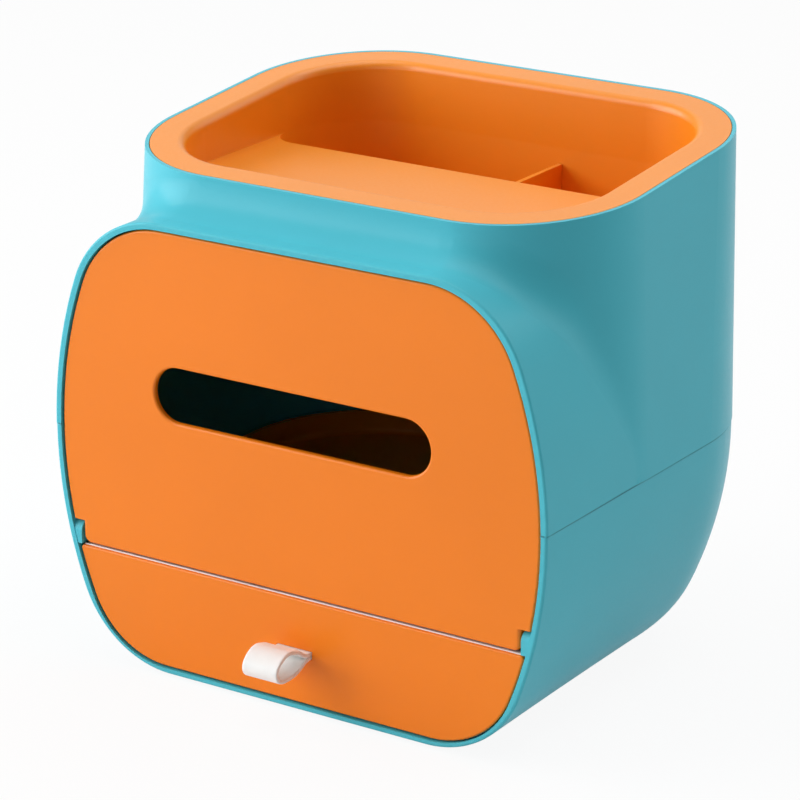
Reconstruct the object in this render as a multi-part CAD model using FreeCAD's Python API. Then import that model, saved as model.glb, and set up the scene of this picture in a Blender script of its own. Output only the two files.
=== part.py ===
import FreeCAD, Part
import math
import os

V = FreeCAD.Vector

# Desktop drawer organizer: a two-part housing with a tissue door, a drawer and a top tray.
# Millimetres. X runs left to right, Z is up from the desk. While modelling, Y is measured
# back from the plane of the front frame; every piece is moved to the centred frame on export.

FOOT_PROUD = 1.0         # rubber feet below the floor
WALL = 2.2               # housing wall
BASE_Z = FOOT_PROUD      # underside of the housing
BIG = 400.0              # larger than the object, for cutting
TINY = 1e-3              # closer than this counts as touching

# front outline of the housing: two straight edges, four corner arcs, two long side arcs
MID_Z = 84.6             # height of the widest point
BODY_HALF = 102.2
SIDE_R = 165.0
TOP_R = 39.0
LOW_R = 39.7
BODY_TOP = 167.9
EDGE_ROUND = 0.9         # rounding of the frame's outer front edge

# plan of the housing behind the front outline
BELLY = 0.4              # the sides swell this far behind the front outline
BELLY_HALF = BODY_HALF + BELLY
REAR_Y = 169.0
REAR_R = 60.0
SIDE_TAPER = 1.09        # how fast the sides follow the front outline inwards
REAR_TAPER = 0.65        # the same for the rear wall
CORNER_TAPER = 0.28      # the same for the rear corner radius
SEAM_Z = MID_Z + 2.6     # seam between the two shells
SEAM_STEP = 0.25         # the upper shell stands this far outside the lower one

# how finely the curved tub of the lower housing is laid out
SIDE_STEPS = 16
CORNER_STEPS = 15
REAR_STEPS = 7
TUB_SPARE = 9.0          # the tub starts this far above the seam and is cut off there
TUB_SIDE_STEPS = 11
TUB_LOW_STEPS = 10
TUB_STRIPS = 8           # the wall is cut into this many faces from right to left

# tower with the tilted top
TILT = 4.9               # degrees, the top rises to the rear
RIM_Z = BODY_TOP + 12.0  # height of the top plane above the front frame
TRAY_HALF = BODY_HALF - 5.8     # tray outline in the tilted plane
TRAY_FRONT = 20.3
TRAY_REAR = REAR_Y - 3.5
TRAY_R = 47.0
TRAY_GAP = 0.25
LIP = 1.15               # housing edge that shows round the tray
RIM_T = 2.6              # thickness of the tray rim
TOWER_FOOT_FRONT = TRAY_FRONT - 4.5     # front wall of the tower, carried down to the seam
HOOD_DEPTH = TOWER_FOOT_FRONT + TRAY_R + 12.0    # the hood ends inside the tower
BLEND_TOP = 12.0         # hollow rounding between hood and tower, over the door
BLEND_SEAM = 60.0        # the same where it runs out at the seam

# door and drawer front share one outline inside the frame
PANEL_HALF = BODY_HALF - 2.9
PANEL_SIDE_R = SIDE_R - 6.3
PANEL_TOP_R = TOP_R - 2.8
PANEL_LOW_R = LOW_R - 5.8
PANEL_TOP = BODY_TOP - 2.6
PANEL_LOW = BASE_Z + 2.55
PANEL_Y = 0.6            # set back from the frame
PANEL_T = 2.0
PANEL_ROUND = 0.8
FRAME_GAP = 0.6
FRAME_DEPTH = PANEL_Y + PANEL_T + 1.4    # inner lip of the frame
DRAWER_TOP = 42.4
DRAWER_CORNER = 1.2      # upper corners of the drawer front
DOOR_LOW = DRAWER_TOP + 1.1
DOOR_FOOT_ROUND = 1.5    # the lower door edge swings past the drawer
DOOR_CORNER = 3.0        # lower corners of the door, seen from the front
SLOT_X = -0.9            # the slot sits a little left of the middle
SLOT_Z = MID_Z + 22.3
SLOT_W = 114.6
SLOT_H = 20.2
SLOT_ROUND = 1.0

# deck over the drawer
DECK_Z = DRAWER_TOP
DECK_T = 1.8
DECK_RIM_H = 9.0
DECK_RIM_T = 1.8
DECK_RIM_FOOT = 2.0      # hollow rounding between rim and deck
DECK_SEAT_PLAY = 0.5     # the screw seats cut right through the rim
DECK_FRONT = 10.0
DECK_GAP = 0.6
LEDGE_W = 3.5
LEDGE_T = 2.0
LEDGE_LENGTH = 90.0
STOP_Y = DECK_FRONT + 2.0
STOP_T = 2.0
STOP_HALF = 30.0

# drawer box
BOX_Y = PANEL_Y + PANEL_T
BOX_INSET = 4.8          # the box is this much narrower than the drawer front, each side
BOX_HALF = PANEL_HALF - BOX_INSET
BOX_SIDE_R = PANEL_SIDE_R - BOX_INSET
BOX_LOW_R = LOW_R - WALL - 1.5
BOX_LOW = BASE_Z + WALL + 2.8
BOX_TOP = DECK_Z - 2.4
BOX_REAR = REAR_Y - 49.0
BOX_WALL = 1.6
BOX_CORNER = 14.0
FLANGE_TOP = DRAWER_TOP + 0.3    # front wall of the box, shows over the drawer front's edge
FLANGE_INSET = 2.0
HOOK_HALF = 20.0
HOOK_TOP = DECK_Z - 0.8
STOP_LOW = HOOK_TOP - 1.0        # the hook meets the stop rib over this height
SKID_X = 30.0
SKID_W = 3.0
SKID_PLAY = 0.15

# pull tab
TAB_Z = DRAWER_TOP - 20.0
TAB_W = 14.6
TAB_T = 1.4
TAB_REACH = 21.0
TAB_LOOP_A = 9.1         # half length of the loop's round part
TAB_LOOP_B = 5.7         # half height
TAB_PINCH = 3.0          # the two layers lie together this far out of the drawer front
TAB_BEND = 5.5           # length of each end behind the drawer front
TAB_SLIT_PLAY = 0.2
CLAMP_T = 1.5
CLAMP_H = 15.0
CLAMP_SCREW_X = TAB_W / 2 + 4.5
CLAMP_W = 2 * CLAMP_SCREW_X + 8.4
WINDOW_PLAY = 1.0

# tray interior
RIM_FLAT = 9.8
RIM_ROUND = 3.0
POCKET_INSET = RIM_FLAT + RIM_ROUND
TRAY_WALL = 2.0
SHELF_Z = RIM_Z - 9.8
WELL_Y = 105.7
WELL_Z = SHELF_Z - 41.5
WELL_DRAFT = 2.0
WELL_CORNER = 11.0
RIB_H = 6.0
RIB_T = 1.4
RIB_END = 6.0            # the ribs stop this far from the well's walls
DIVIDER_X = 14.0
DIVIDER_T = 1.8
DIVIDER_TOP = SHELF_Z - 5.7
DIVIDER_PLAY = 0.3

# screws, their posts and the feet
POST_R = 4.2
POST_INSET = 3.6         # post axis inside the wall
POST_REACH = 13.5        # posts run this far from the seam, up and down
POST_Y = 30.0
POST_X = BELLY_HALF - REAR_R + 5.4
SHELL_SCREW_R = 1.4
SHELL_HEAD_R = 2.6
DECK_BOSS_R = 2.6
DECK_BOSS_H = 12.4
DECK_BOSS_INSET = 2.8    # boss axis inside the wall
DECK_SIDE_Y = 30.0
DECK_REAR_X = 45.0
SMALL_SCREW_R = 1.0
SMALL_HEAD_R = 2.0
HEAD_H = 1.4
SCREW_PLAY = 0.15
DRAWER_SCREW_X = BOX_HALF - 34.5
DRAWER_SCREW_HIGH = BOX_TOP - 6.0
DRAWER_SCREW_LOW = DRAWER_SCREW_HIGH - 16.0
FOOT_R = 6.0
FOOT_T = 2.0
FOOT_INSET = 14.5        # front feet inside the flat floor's side edge
FOOT_REAR_INSET = 26.5
FOOT_FRONT_Y = 16.0
FOOT_REAR_MARGIN = 20.0

CENTRE_Y = (REAR_Y + SEAM_STEP + PANEL_Y - TAB_REACH) / 2   # middle of the overall depth


def side_half(half, side_r, z):
    """Half width at height z of an outline whose long side arc has this radius."""
    return half - side_r + math.sqrt(side_r ** 2 - (z - MID_Z) ** 2)


# door hinge, held by lugs at the frame's inner edge
HINGE_Y = 4.0
HINGE_Z = DOOR_LOW + 3.9
LUG_REACH = 3.0          # the lugs reach this far in from the door's outline
LUG_R = HINGE_Y - 0.2
LUG_LOW = DRAWER_TOP + FRAME_GAP
LUG_DEPTH = DECK_FRONT - DECK_GAP
NOTCH_TOP = HINGE_Z + HINGE_Y + FRAME_GAP      # the open door stays in front of the frame
TONGUE_HALF = side_half(PANEL_HALF, PANEL_SIDE_R, HINGE_Z) - LUG_REACH
LUG_X = TONGUE_HALF + FRAME_GAP
LUG_END_X = side_half(BODY_HALF, SIDE_R, HINGE_Z) - WALL / 2
BOSS_R = 3.0
BOSS_LENGTH = 7.9
PIN_R = 1.25
PIN_PLAY = 0.05
PIN_START_X = TONGUE_HALF - BOSS_LENGTH + WALL
PIN_END_X = LUG_X + 3.5

# seats of the deck in the lower housing
DECK_HALF = side_half(BODY_HALF, SIDE_R, DECK_Z) - WALL
DECK_SIDE_X = DECK_HALF - DECK_BOSS_INSET
DECK_REAR_Y = REAR_Y - WALL - REAR_TAPER * (BODY_HALF - WALL - DECK_HALF) - DECK_BOSS_INSET


def box(x0, x1, y0, y1, z0, z1):
    return Part.makeBox(x1 - x0, y1 - y0, z1 - z0, V(x0, y0, z0))


def rod_x(radius, x0, x1, y, z):
    return Part.makeCylinder(radius, x1 - x0, V(x0, y, z), V(1, 0, 0))


def rod_y(radius, y0, y1, x, z):
    return Part.makeCylinder(radius, y1 - y0, V(x, y0, z), V(0, 1, 0))


def rod_z(radius, z0, z1, x, y):
    return Part.makeCylinder(radius, z1 - z0, V(x, y, z0), V(0, 0, 1))


def mirrored(shape):
    return shape.mirror(V(0, 0, 0), V(1, 0, 0))


def both_sides(shape):
    return [shape, mirrored(shape)]


def corner_x(half, side_r, corner_r, corner_z):
    """X of a corner arc's centre so that it runs smoothly into the side arc."""
    reach = side_r - corner_r
    rise = corner_z - MID_Z
    return half - side_r + math.sqrt(reach ** 2 - rise ** 2)


def arc_point(cx, cz, radius, angle):
    return V(cx + radius * math.cos(angle), 0, cz + radius * math.sin(angle))


def front_wire(half, side_r, top_r, low_r, top_z, low_z):
    """Closed outline in the plane of the front frame."""
    side_x = half - side_r
    up_z = top_z - top_r
    up_x = corner_x(half, side_r, top_r, up_z)
    up = math.atan2(up_z - MID_Z, up_x - side_x)
    down_z = low_z + low_r
    down_x = corner_x(half, side_r, low_r, down_z)
    down = math.atan2(down_z - MID_Z, down_x - side_x)
    right_angle = math.pi / 2
    points = [
        V(up_x, 0, top_z),
        arc_point(up_x, up_z, top_r, (up + right_angle) / 2),
        arc_point(up_x, up_z, top_r, up),
        V(half, 0, MID_Z),
        arc_point(down_x, down_z, low_r, down),
        arc_point(down_x, down_z, low_r, (down - right_angle) / 2),
        V(down_x, 0, low_z),
    ]
    left = [V(-p.x, 0, p.z) for p in points]
    edges = [Part.makeLine(left[0], points[0])]
    for first in (0, 2, 4):
        edges.append(Part.Arc(*points[first:first + 3]).toShape())
    edges.append(Part.makeLine(points[6], left[6]))
    for last in (6, 4, 2):
        edges.append(Part.Arc(left[last], left[last - 1], left[last - 2]).toShape())
    return Part.Wire(edges)


def prism_y(wire, y0, y1):
    face = Part.Face(wire)
    face.translate(V(0, y0, 0))
    return face.extrude(V(0, y1 - y0, 0))


def body_prism(inset, y0, y1):
    """The housing's front outline, moved inwards by inset, as a prism along Y."""
    wire = front_wire(BODY_HALF - inset, SIDE_R - inset, TOP_R - inset, LOW_R - inset,
                      BODY_TOP - inset, BASE_Z + inset)
    return prism_y(wire, y0, y1)


def panel_prism(inset, y0, y1):
    """The outline of door and drawer front, moved inwards by inset, as a prism along Y."""
    wire = front_wire(PANEL_HALF - inset, PANEL_SIDE_R - inset, PANEL_TOP_R - inset,
                      PANEL_LOW_R - inset, PANEL_TOP - inset, PANEL_LOW + inset)
    return prism_y(wire, y0, y1)


def low_corner():
    """Centre of the lower corner arc of the front outline."""
    z = BASE_Z + LOW_R
    return corner_x(BODY_HALF, SIDE_R, LOW_R, z), z


def low_join():
    """Dip of the outline's normal where the side arc runs into the lower corner arc."""
    x, z = low_corner()
    return math.atan2(z - MID_Z, x - BODY_HALF + SIDE_R)


def front_point(normal, inset):
    """Half width and height of the front outline where its normal dips by this angle."""
    if normal > low_join():
        point = arc_point(BODY_HALF - SIDE_R, MID_Z, SIDE_R - inset, normal)
    else:
        x, z = low_corner()
        point = arc_point(x, z, LOW_R - inset, normal)
    return point.x, point.z


def edges_where(shape, test):
    return [edge for edge in shape.Edges if test(edge.BoundBox)]


def at_front(bounds, y):
    return abs(bounds.YMin - y) < TINY and abs(bounds.YMax - y) < TINY


def flat_face(edges, row):
    """Flat face between a curved edge and the straight line that joins its ends."""
    return Part.Face(Part.Wire(edges + [Part.makeLine(row[-1], row[0])]))


def plan_stations(half, z, inset, front_y):
    """Points of the right half of the lower housing's outline at height z, front to rear."""
    shrink = BODY_HALF - inset - half
    side = BELLY_HALF - inset - SIDE_TAPER * shrink
    rear = REAR_Y - inset - REAR_TAPER * shrink
    radius = REAR_R - inset - CORNER_TAPER * shrink
    turn = rear - radius
    stations = []
    for step in range(SIDE_STEPS):
        t = step / SIDE_STEPS
        x = half + (side - half) * t * (2 - t)
        stations.append(V(x, front_y + (turn - front_y) * t, z))
    for step in range(CORNER_STEPS):
        angle = math.pi / 2 * step / CORNER_STEPS
        x = side - radius + radius * math.cos(angle)
        stations.append(V(x, turn + radius * math.sin(angle), z))
    for step in range(REAR_STEPS):
        stations.append(V((side - radius) * (1 - step / REAR_STEPS), rear, z))
    return stations


def plan_row(half, z, inset, front_y):
    """The whole outline from the right front edge round the rear to the left front edge."""
    right = plan_stations(half, z, inset, front_y)
    rear_y = right[-1].y
    left = [V(-p.x, p.y, p.z) for p in reversed(right)]
    return right + [V(0, rear_y, z)] + left


def plan_wire(half, z, inset, front_y):
    """Horizontal outline of the lower housing at height z, closed by the plane at front_y."""
    row = plan_row(half, z, inset, front_y)
    curve = Part.BSplineCurve()
    curve.interpolate(row)
    return Part.Wire([curve.toShape(), Part.makeLine(row[-1], row[0])])


def tub_angles():
    """Dips of the outline's normal, evenly spread along the side arc and the lower arc."""
    join = low_join()
    start = math.asin((SEAM_Z + TUB_SPARE - MID_Z) / SIDE_R)
    side = [start + (join - start) * step / TUB_SIDE_STEPS
            for step in range(TUB_SIDE_STEPS)]
    low = [join - (math.pi / 2 + join) * step / TUB_LOW_STEPS
           for step in range(TUB_LOW_STEPS + 1)]
    return side + low


def shares(points):
    """How far along the broken line through the points each of them lies, from 0 to 1."""
    lengths = [0]
    for first, second in zip(points, points[1:]):
        lengths.append(lengths[-1] + first.distanceToPoint(second))
    return [length / lengths[-1] for length in lengths]


def spline(points, parameters):
    curve = Part.BSplineCurve()
    curve.interpolate(Points=points, Parameters=parameters)
    return curve


def smooth_strips(rows):
    """B-spline surface through all points of equally long rows, cut into strips."""
    along = [spline(row, shares(rows[0])) for row in rows]
    columns = list(zip(*[curve.getPoles() for curve in along]))
    across = [spline(list(column), shares(columns[0])) for column in columns]
    surface = Part.BSplineSurface()
    surface.buildFromPolesMultsKnots(
        [curve.getPoles() for curve in across],
        along[0].getMultiplicities(), across[0].getMultiplicities(),
        along[0].getKnots(), across[0].getKnots(),
        False, False, along[0].Degree, across[0].Degree)
    strips = []
    for step in range(TUB_STRIPS):
        strip = surface.copy()
        strip.segment(step / TUB_STRIPS, (step + 1) / TUB_STRIPS, 0, 1)
        strips.append(strip.toShape())
    return Part.makeShell(strips)


def lower_body(inset, front_y):
    """Smooth tub from above the seam down to the floor."""
    rows = []
    for angle in tub_angles():
        half, z = front_point(angle, inset)
        rows.append(plan_row(half, z, inset, front_y))
    wall = smooth_strips(rows)
    top, floor = rows[0], rows[-1]
    rim = flat_face(edges_where(wall, lambda b: b.ZMin > top[0].z - TINY), top)
    base = flat_face(edges_where(wall, lambda b: b.ZMax < floor[0].z + TINY), floor)
    ends = edges_where(wall, lambda b: at_front(b, front_y))
    across = [Part.makeLine(row[0], row[-1]) for row in (top, floor)]
    mouth = Part.Face(Part.Wire(Part.__sortEdges__(ends + across)))
    shell = Part.makeShell(wall.Faces + [rim, base, mouth])
    shell.sewShape()
    solid = Part.makeSolid(shell)
    if solid.Volume < 0:
        solid.reverse()
    return solid


def below_seam(shape):
    return shape.common(box(-BIG, BIG, -BIG, BIG, -BIG, SEAM_Z))


def above_seam(shape):
    return shape.common(box(-BIG, BIG, -BIG, BIG, SEAM_Z, BIG))


def rounded_rect(half, front, rear, front_r, rear_r):
    """Horizontal rounded rectangle at height zero."""
    def bend(cx, cy, radius, start):
        mid = math.radians(start + 45)
        first = math.radians(start)
        last = math.radians(start + 90)
        stations = [V(cx + radius * math.cos(a), cy + radius * math.sin(a), 0)
                    for a in (first, mid, last)]
        return stations
    corners = [
        bend(half - front_r, front + front_r, front_r, -90),
        bend(half - rear_r, rear - rear_r, rear_r, 0),
        bend(rear_r - half, rear - rear_r, rear_r, 90),
        bend(front_r - half, front + front_r, front_r, 180),
    ]
    edges = []
    for index, corner in enumerate(corners):
        following = corners[(index + 1) % len(corners)]
        edges.append(Part.Arc(*corner).toShape())
        edges.append(Part.makeLine(corner[2], following[0]))
    return Part.Wire(edges)


def at_height(wire, z):
    wire.translate(V(0, 0, z))
    return wire


def tilted(shape, rise=0.0):
    """Place a shape drawn on the horizontal plane onto the tilted top plane."""
    shape.translate(V(0, 0, rise))
    shape.rotate(V(0, 0, 0), V(1, 0, 0), TILT)
    shape.translate(V(0, 0, RIM_Z))
    return shape


def tray_wire(inset):
    return rounded_rect(TRAY_HALF - inset, TRAY_FRONT + inset, TRAY_REAR - inset,
                        TRAY_R - inset, TRAY_R - inset)


def tower_body(inset):
    """Tower from the tilted top down to the seam."""
    edge = LIP + TRAY_GAP
    top = tilted(tray_wire(inset - edge))
    foot_r = TRAY_R + edge - inset
    foot = rounded_rect(BELLY_HALF - inset, TOWER_FOOT_FRONT + inset, REAR_Y - inset,
                        foot_r, REAR_R - inset)
    return Part.makeLoft([at_height(foot, SEAM_Z), top], True, True)


def blend_radius(z):
    """Radius of the hollow rounding at height z."""
    share = (BODY_TOP - z) / (BODY_TOP - SEAM_Z)
    return BLEND_TOP + (BLEND_SEAM - BLEND_TOP) * max(0, share)


def meets_both(edge, first, second):
    """Whether an edge above the seam lies on both of the joined bodies."""
    middle = Part.Vertex(edge.valueAt((edge.FirstParameter + edge.LastParameter) / 2))
    on_first = middle.distToShape(first.Shells[0])[0] < TINY
    on_second = middle.distToShape(second.Shells[0])[0] < TINY
    inside = TINY < middle.Y < HOOD_DEPTH - TINY and middle.Z > SEAM_Z + TINY
    return on_first and on_second and inside


def join_hood(tower, hood):
    """Fuse hood and tower and round the hollow edge between them, wider towards the seam."""
    joined = tower.fuse(hood)
    roundings = []
    for number, edge in enumerate(joined.Edges, 1):
        if meets_both(edge, tower, hood):
            ends = [edge.valueAt(edge.FirstParameter).z, edge.valueAt(edge.LastParameter).z]
            if edge.Orientation == "Forward":
                ends.reverse()
            roundings.append((number, blend_radius(ends[0]), blend_radius(ends[1])))
    document = FreeCAD.newDocument()
    base = document.addObject("Part::Feature", "base")
    base.Shape = joined
    rounded = document.addObject("Part::Fillet", "rounded")
    rounded.Base = base
    rounded.Edges = roundings
    document.recompute()
    return rounded.Shape


def make_hood(inset, front_y):
    hood = body_prism(inset, front_y, HOOD_DEPTH)
    return above_seam(hood)


def screw(radius, head_r, length):
    """Pan-head screw along Z with the underside of the head at zero, head down."""
    shank = rod_z(radius, 0, length, 0, 0)
    head = rod_z(head_r, -HEAD_H, 0, 0, 0)
    return shank.fuse(head).removeSplitter()


def post_places():
    side_x = BODY_HALF - WALL - POST_INSET
    rear_y = REAR_Y - WALL - POST_INSET
    return [(s * side_x, POST_Y) for s in (-1, 1)] + [(s * POST_X, rear_y) for s in (-1, 1)]


def deck_places():
    sides = [(s * DECK_SIDE_X, DECK_SIDE_Y) for s in (-1, 1)]
    return sides + [(s * DECK_REAR_X, DECK_REAR_Y) for s in (-1, 1)]


def foot_places():
    floor_half = low_corner()[0]
    front_x = floor_half - FOOT_INSET
    rear_x = floor_half - FOOT_REAR_INSET
    rear_y = REAR_Y - REAR_TAPER * (BODY_HALF - floor_half) - FOOT_REAR_MARGIN
    return {
        "foot_front_left": (-front_x, FOOT_FRONT_Y),
        "foot_front_right": (front_x, FOOT_FRONT_Y),
        "foot_rear_left": (-rear_x, rear_y),
        "foot_rear_right": (rear_x, rear_y),
    }


def make_lug():
    """Hinge lug at the right inner edge of the frame, round about the pin."""
    nose = rod_x(LUG_R, LUG_X, LUG_END_X, HINGE_Y, HINGE_Z)
    root = box(LUG_X, LUG_END_X, HINGE_Y, LUG_DEPTH, LUG_LOW, HINGE_Z + LUG_R)
    foot = box(LUG_X, LUG_END_X, HINGE_Y - LUG_R, HINGE_Y, LUG_LOW, HINGE_Z)
    return nose.fuse(root).fuse(foot)


def frame_lip(outer):
    """Inner lip of the frame round door and drawer front."""
    return body_prism(WALL / 2, 0, FRAME_DEPTH).common(outer)


def panel_space():
    """Room for door and drawer front inside the frame."""
    return panel_prism(-FRAME_GAP, -1, FRAME_DEPTH)


def make_upper_shell():
    hood = make_hood(-SEAM_STEP, 0)
    rim = edges_where(hood, lambda b: at_front(b, 0) and b.ZMax > SEAM_Z + TINY)
    hood = hood.makeFillet(EDGE_ROUND, rim)
    outer = join_hood(tower_body(-SEAM_STEP), hood)
    hollow = tower_body(WALL).fuse(make_hood(WALL, -1))
    hollow = hollow.fuse(box(-BELLY_HALF / 2, BELLY_HALF / 2, HOOD_DEPTH, REAR_Y - WALL, 0, SEAM_Z))
    recess = tilted(Part.Face(tray_wire(-TRAY_GAP)).extrude(V(0, 0, RIM_T)), -RIM_T)
    shell = outer.cut(hollow).cut(recess)
    shell = shell.fuse(above_seam(frame_lip(outer))).cut(panel_space())
    for x, y in post_places():
        post = rod_z(POST_R, SEAM_Z, SEAM_Z + POST_REACH, x, y).common(outer)
        pilot = rod_z(SHELL_SCREW_R, SEAM_Z, SEAM_Z + POST_REACH - WALL, x, y)
        shell = shell.fuse(post).cut(pilot)
    return shell.removeSplitter()


def make_lower_shell():
    outer = below_seam(lower_body(0, 0))
    rim = edges_where(outer, lambda b: at_front(b, 0) and b.ZMin < SEAM_Z - TINY)
    outer = outer.makeFillet(EDGE_ROUND, rim)
    shell = outer.cut(lower_body(WALL, -2))
    shell = shell.fuse(below_seam(frame_lip(outer))).cut(panel_space())
    additions = both_sides(make_lug().common(outer))
    ledge = box(DECK_HALF - LEDGE_W, BIG, DECK_FRONT, DECK_FRONT + LEDGE_LENGTH,
                DECK_Z - LEDGE_T, DECK_Z)
    additions += both_sides(ledge.common(outer))
    for x, y in deck_places():
        additions.append(rod_z(DECK_BOSS_R, DECK_Z - DECK_BOSS_H, DECK_Z, x, y).common(outer))
    for x, y in post_places():
        additions.append(rod_z(POST_R, SEAM_Z - POST_REACH, SEAM_Z, x, y).common(outer))
    for piece in additions:
        shell = shell.fuse(piece)
    for x, y in deck_places():
        shell = shell.cut(rod_z(SMALL_SCREW_R, DECK_Z - DECK_BOSS_H + WALL, DECK_Z, x, y))
    for x, y in post_places():
        shell = shell.cut(rod_z(SHELL_SCREW_R + SCREW_PLAY, SEAM_Z - POST_REACH, SEAM_Z, x, y))
    for hole in both_sides(rod_x(PIN_R + PIN_PLAY, LUG_X, PIN_END_X + PIN_PLAY, HINGE_Y, HINGE_Z)):
        shell = shell.cut(hole)
    for x, y in foot_places().values():
        shell = shell.cut(rod_z(FOOT_R, 0, FOOT_T, x, y))
    return shell


def make_shell_screws():
    length = 2 * (POST_REACH - WALL)
    screws = []
    for x, y in post_places():
        one = screw(SHELL_SCREW_R, SHELL_HEAD_R, length)
        one.translate(V(x, y, SEAM_Z - POST_REACH))
        screws.append(one)
    return Part.makeCompound(screws)


def make_deck():
    z = DECK_Z
    half = side_half(BODY_HALF, SIDE_R, z) - WALL - DECK_GAP
    plan = Part.Face(plan_wire(half, z, WALL + DECK_GAP, DECK_FRONT))
    inner = Part.Face(plan_wire(half - DECK_RIM_T, z + DECK_T, WALL + DECK_GAP + DECK_RIM_T,
                                DECK_FRONT - DECK_RIM_T))
    deck = plan.extrude(V(0, 0, DECK_T + DECK_RIM_H))
    deck = deck.cut(inner.extrude(V(0, 0, DECK_RIM_H)))
    rim_foot = edges_where(deck, lambda b: b.YLength > DECK_FRONT and b.ZLength < TINY
                           and abs(b.ZMin - z - DECK_T) < TINY)
    deck = deck.makeFillet(DECK_RIM_FOOT, rim_foot)
    stop = box(-STOP_HALF, STOP_HALF, STOP_Y, STOP_Y + STOP_T, STOP_LOW, z)
    deck = deck.fuse(stop)
    for x, y in deck_places():
        deck = deck.cut(rod_z(SMALL_SCREW_R + SCREW_PLAY, z, z + BIG, x, y))
        seat = rod_z(SMALL_HEAD_R + DECK_SEAT_PLAY, z + DECK_T, z + BIG, x, y)
        deck = deck.cut(seat)
    return deck.removeSplitter()


def make_deck_screws():
    screws = []
    for x, y in deck_places():
        one = screw(SMALL_SCREW_R, SMALL_HEAD_R, DECK_T + DECK_BOSS_H - 2 * WALL)
        one.rotate(V(0, 0, 0), V(1, 0, 0), 180)
        one.translate(V(x, y, DECK_Z + DECK_T))
        screws.append(one)
    return Part.makeCompound(screws)


def slot_prism(y0, y1):
    radius = SLOT_H / 2
    straight = SLOT_W / 2 - radius
    left, right = SLOT_X - straight, SLOT_X + straight
    bar = box(left, right, y0, y1, SLOT_Z - radius, SLOT_Z + radius)
    ends = [rod_y(radius, y0, y1, x, SLOT_Z) for x in (left, right)]
    return bar.fuse(ends).removeSplitter()


def corner_edges(panel, z):
    """Edges across the panel's thickness at its two corners on this height."""
    return edges_where(panel, lambda b: b.YLength > PANEL_T - TINY and b.XLength < TINY
                       and abs(b.Center.z - z) < TINY)


def make_front_door():
    back = PANEL_Y + PANEL_T
    door = panel_prism(0, PANEL_Y, back)
    door = door.cut(box(-BIG, BIG, -BIG, BIG, -BIG, DOOR_LOW))
    notch = box(TONGUE_HALF, BIG, -BIG, BIG, 0, NOTCH_TOP)
    for side in both_sides(notch):
        door = door.cut(side)
    door = door.makeFillet(DOOR_CORNER, corner_edges(door, DOOR_LOW))
    foot = edges_where(door, lambda b: at_front(b, PANEL_Y) and b.ZMax < DOOR_LOW + DOOR_CORNER + TINY)
    door = door.makeFillet(DOOR_FOOT_ROUND, foot)
    rest = edges_where(door, lambda b: at_front(b, PANEL_Y) and b.ZMax > NOTCH_TOP + TINY)
    door = door.makeFillet(PANEL_ROUND, rest)
    door = door.cut(slot_prism(-1, back + 1))
    slot_edges = edges_where(door, lambda b: at_front(b, PANEL_Y) and b.ZLength < SLOT_H + TINY
                             and abs(b.Center.z - SLOT_Z) < SLOT_H)
    door = door.makeFillet(SLOT_ROUND, slot_edges)
    boss = rod_x(BOSS_R, TONGUE_HALF - BOSS_LENGTH, TONGUE_HALF, HINGE_Y, HINGE_Z)
    boss = boss.common(box(0, BIG, PANEL_Y + PANEL_T / 2, BIG, 0, BIG))
    bore = rod_x(PIN_R, PIN_START_X, TONGUE_HALF, HINGE_Y, HINGE_Z)
    for side, hole in zip(both_sides(boss), both_sides(bore)):
        door = door.fuse(side).cut(hole)
    return door.removeSplitter()


def make_hinge_pin():
    return rod_x(PIN_R, PIN_START_X, PIN_END_X, HINGE_Y, HINGE_Z)


def drawer_screw_places():
    heights = (DRAWER_SCREW_LOW, DRAWER_SCREW_HIGH)
    return [(s * DRAWER_SCREW_X, z) for s in (-1, 1) for z in heights]


def clamp_screw_places():
    return [(s * CLAMP_SCREW_X, TAB_Z) for s in (-1, 1)]


def make_drawer_front():
    front = panel_prism(0, PANEL_Y, BOX_Y)
    front = front.common(box(-BIG, BIG, -BIG, BIG, -BIG, DRAWER_TOP))
    front = front.makeFillet(DRAWER_CORNER, corner_edges(front, DRAWER_TOP))
    front = front.makeFillet(PANEL_ROUND, edges_where(front, lambda b: at_front(b, PANEL_Y)))
    slit = TAB_T + TAB_SLIT_PLAY
    wide = TAB_W / 2 + TAB_SLIT_PLAY
    front = front.cut(box(-wide, wide, -1, BOX_Y + 1, TAB_Z - slit, TAB_Z + slit))
    for x, z in drawer_screw_places() + clamp_screw_places():
        front = front.cut(rod_y(SMALL_SCREW_R, PANEL_Y + PANEL_T / 3, BOX_Y, x, z))
    return front.removeSplitter()


def box_prism(inset, y0, y1):
    wire = front_wire(BOX_HALF - inset, BOX_SIDE_R - inset, PANEL_TOP_R - inset,
                      BOX_LOW_R - inset, PANEL_TOP - inset, BOX_LOW + inset)
    return prism_y(wire, y0, y1)


def vertical_corners(half, rear, radius):
    """Plan with two rounded rear corners, as tall as the object."""
    face = Part.Face(rounded_rect(half, -BIG, rear, radius, radius))
    return face.extrude(V(0, 0, BIG))


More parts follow.
